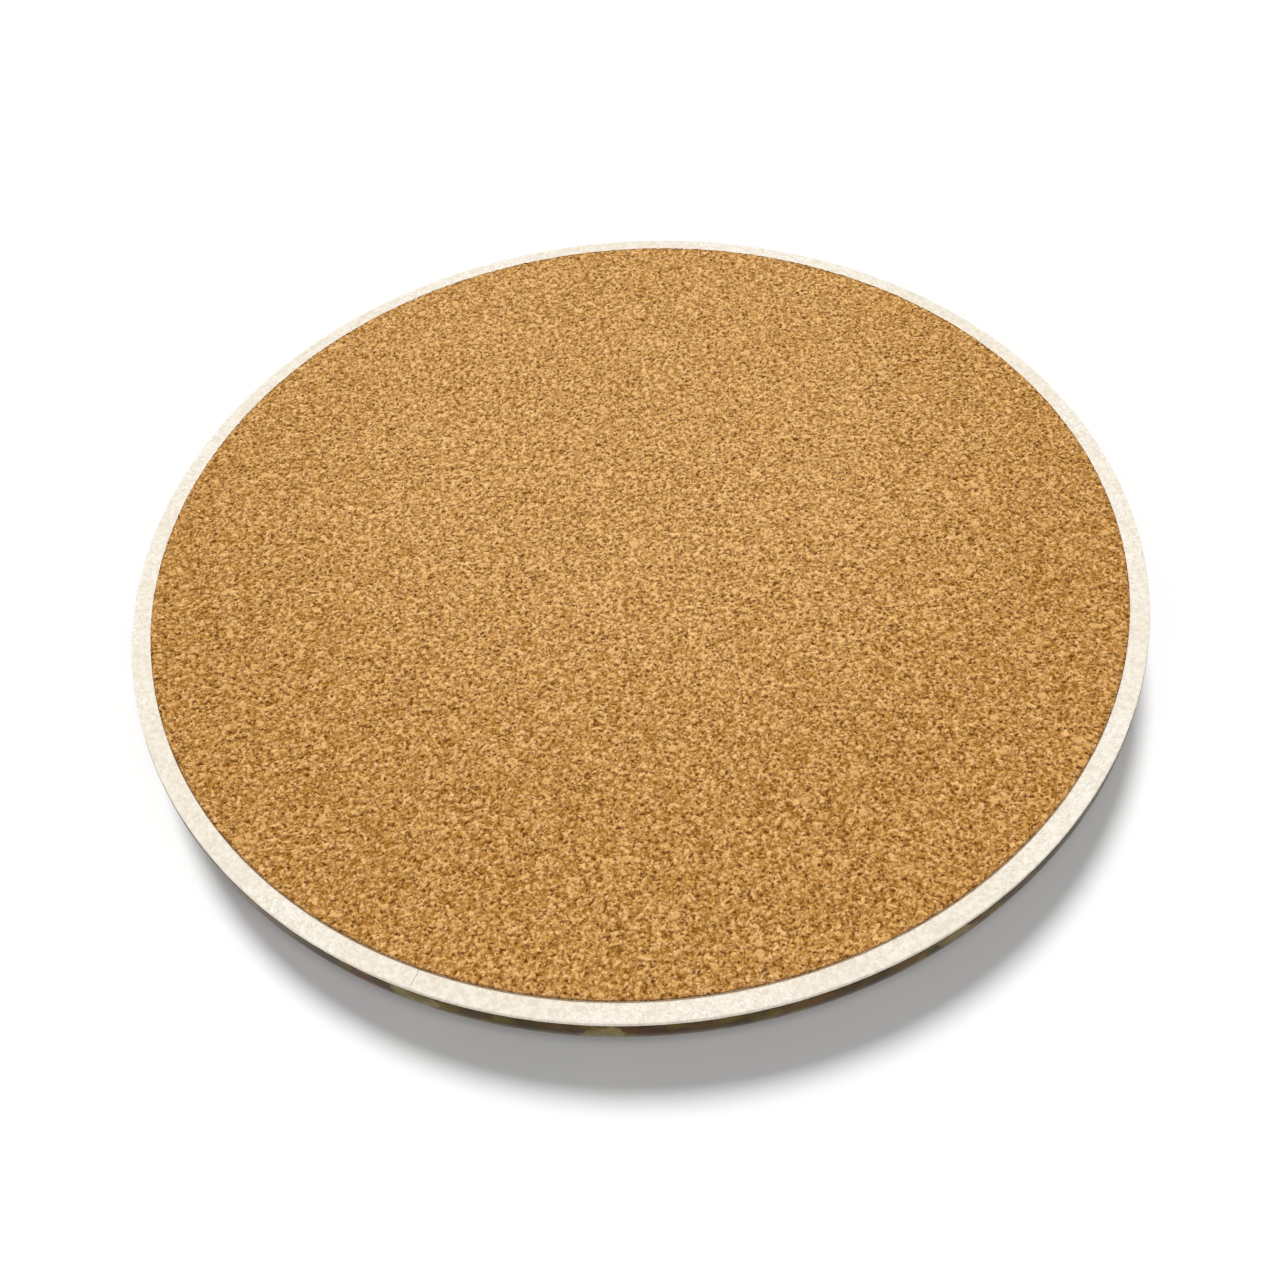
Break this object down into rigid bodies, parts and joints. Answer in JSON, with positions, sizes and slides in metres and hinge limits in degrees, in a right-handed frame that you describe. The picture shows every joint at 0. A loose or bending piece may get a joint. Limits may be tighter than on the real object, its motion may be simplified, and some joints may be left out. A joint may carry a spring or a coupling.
{
  "type": "cork-backed ceramic coaster",
  "caption": "Round ceramic coaster lying face down: a cork disc set in its back inside a bare cream rim, with a glazed printed coat over the rounded face and side.",
  "frame": {"origin": "centre of the printed face, the bottom of the coaster as it lies face down", "axes": "+Z through the thickness, from the printed face up to the cork face; +X to the viewer's right and +Y away from the viewer, which a round part lets be any two level directions"},
  "size_m": [0.1, 0.1, 0.006],
  "materials": {
    "bare_bisque": "matt, unglazed, fine sandy grain",
    "printed_glaze": "gloss, mottled olive, brown and dark red print",
    "adhesive": "dull, dark amber",
    "agglomerated_cork": "matt, pressed granules with small open pits"
  },
  "bodies": {
    "root": {"ceramic_body": "bare_bisque", "printed_coat": "printed_glaze", "adhesive_film": "adhesive", "cork_disc": "agglomerated_cork"}
  },
  "joints": []
}
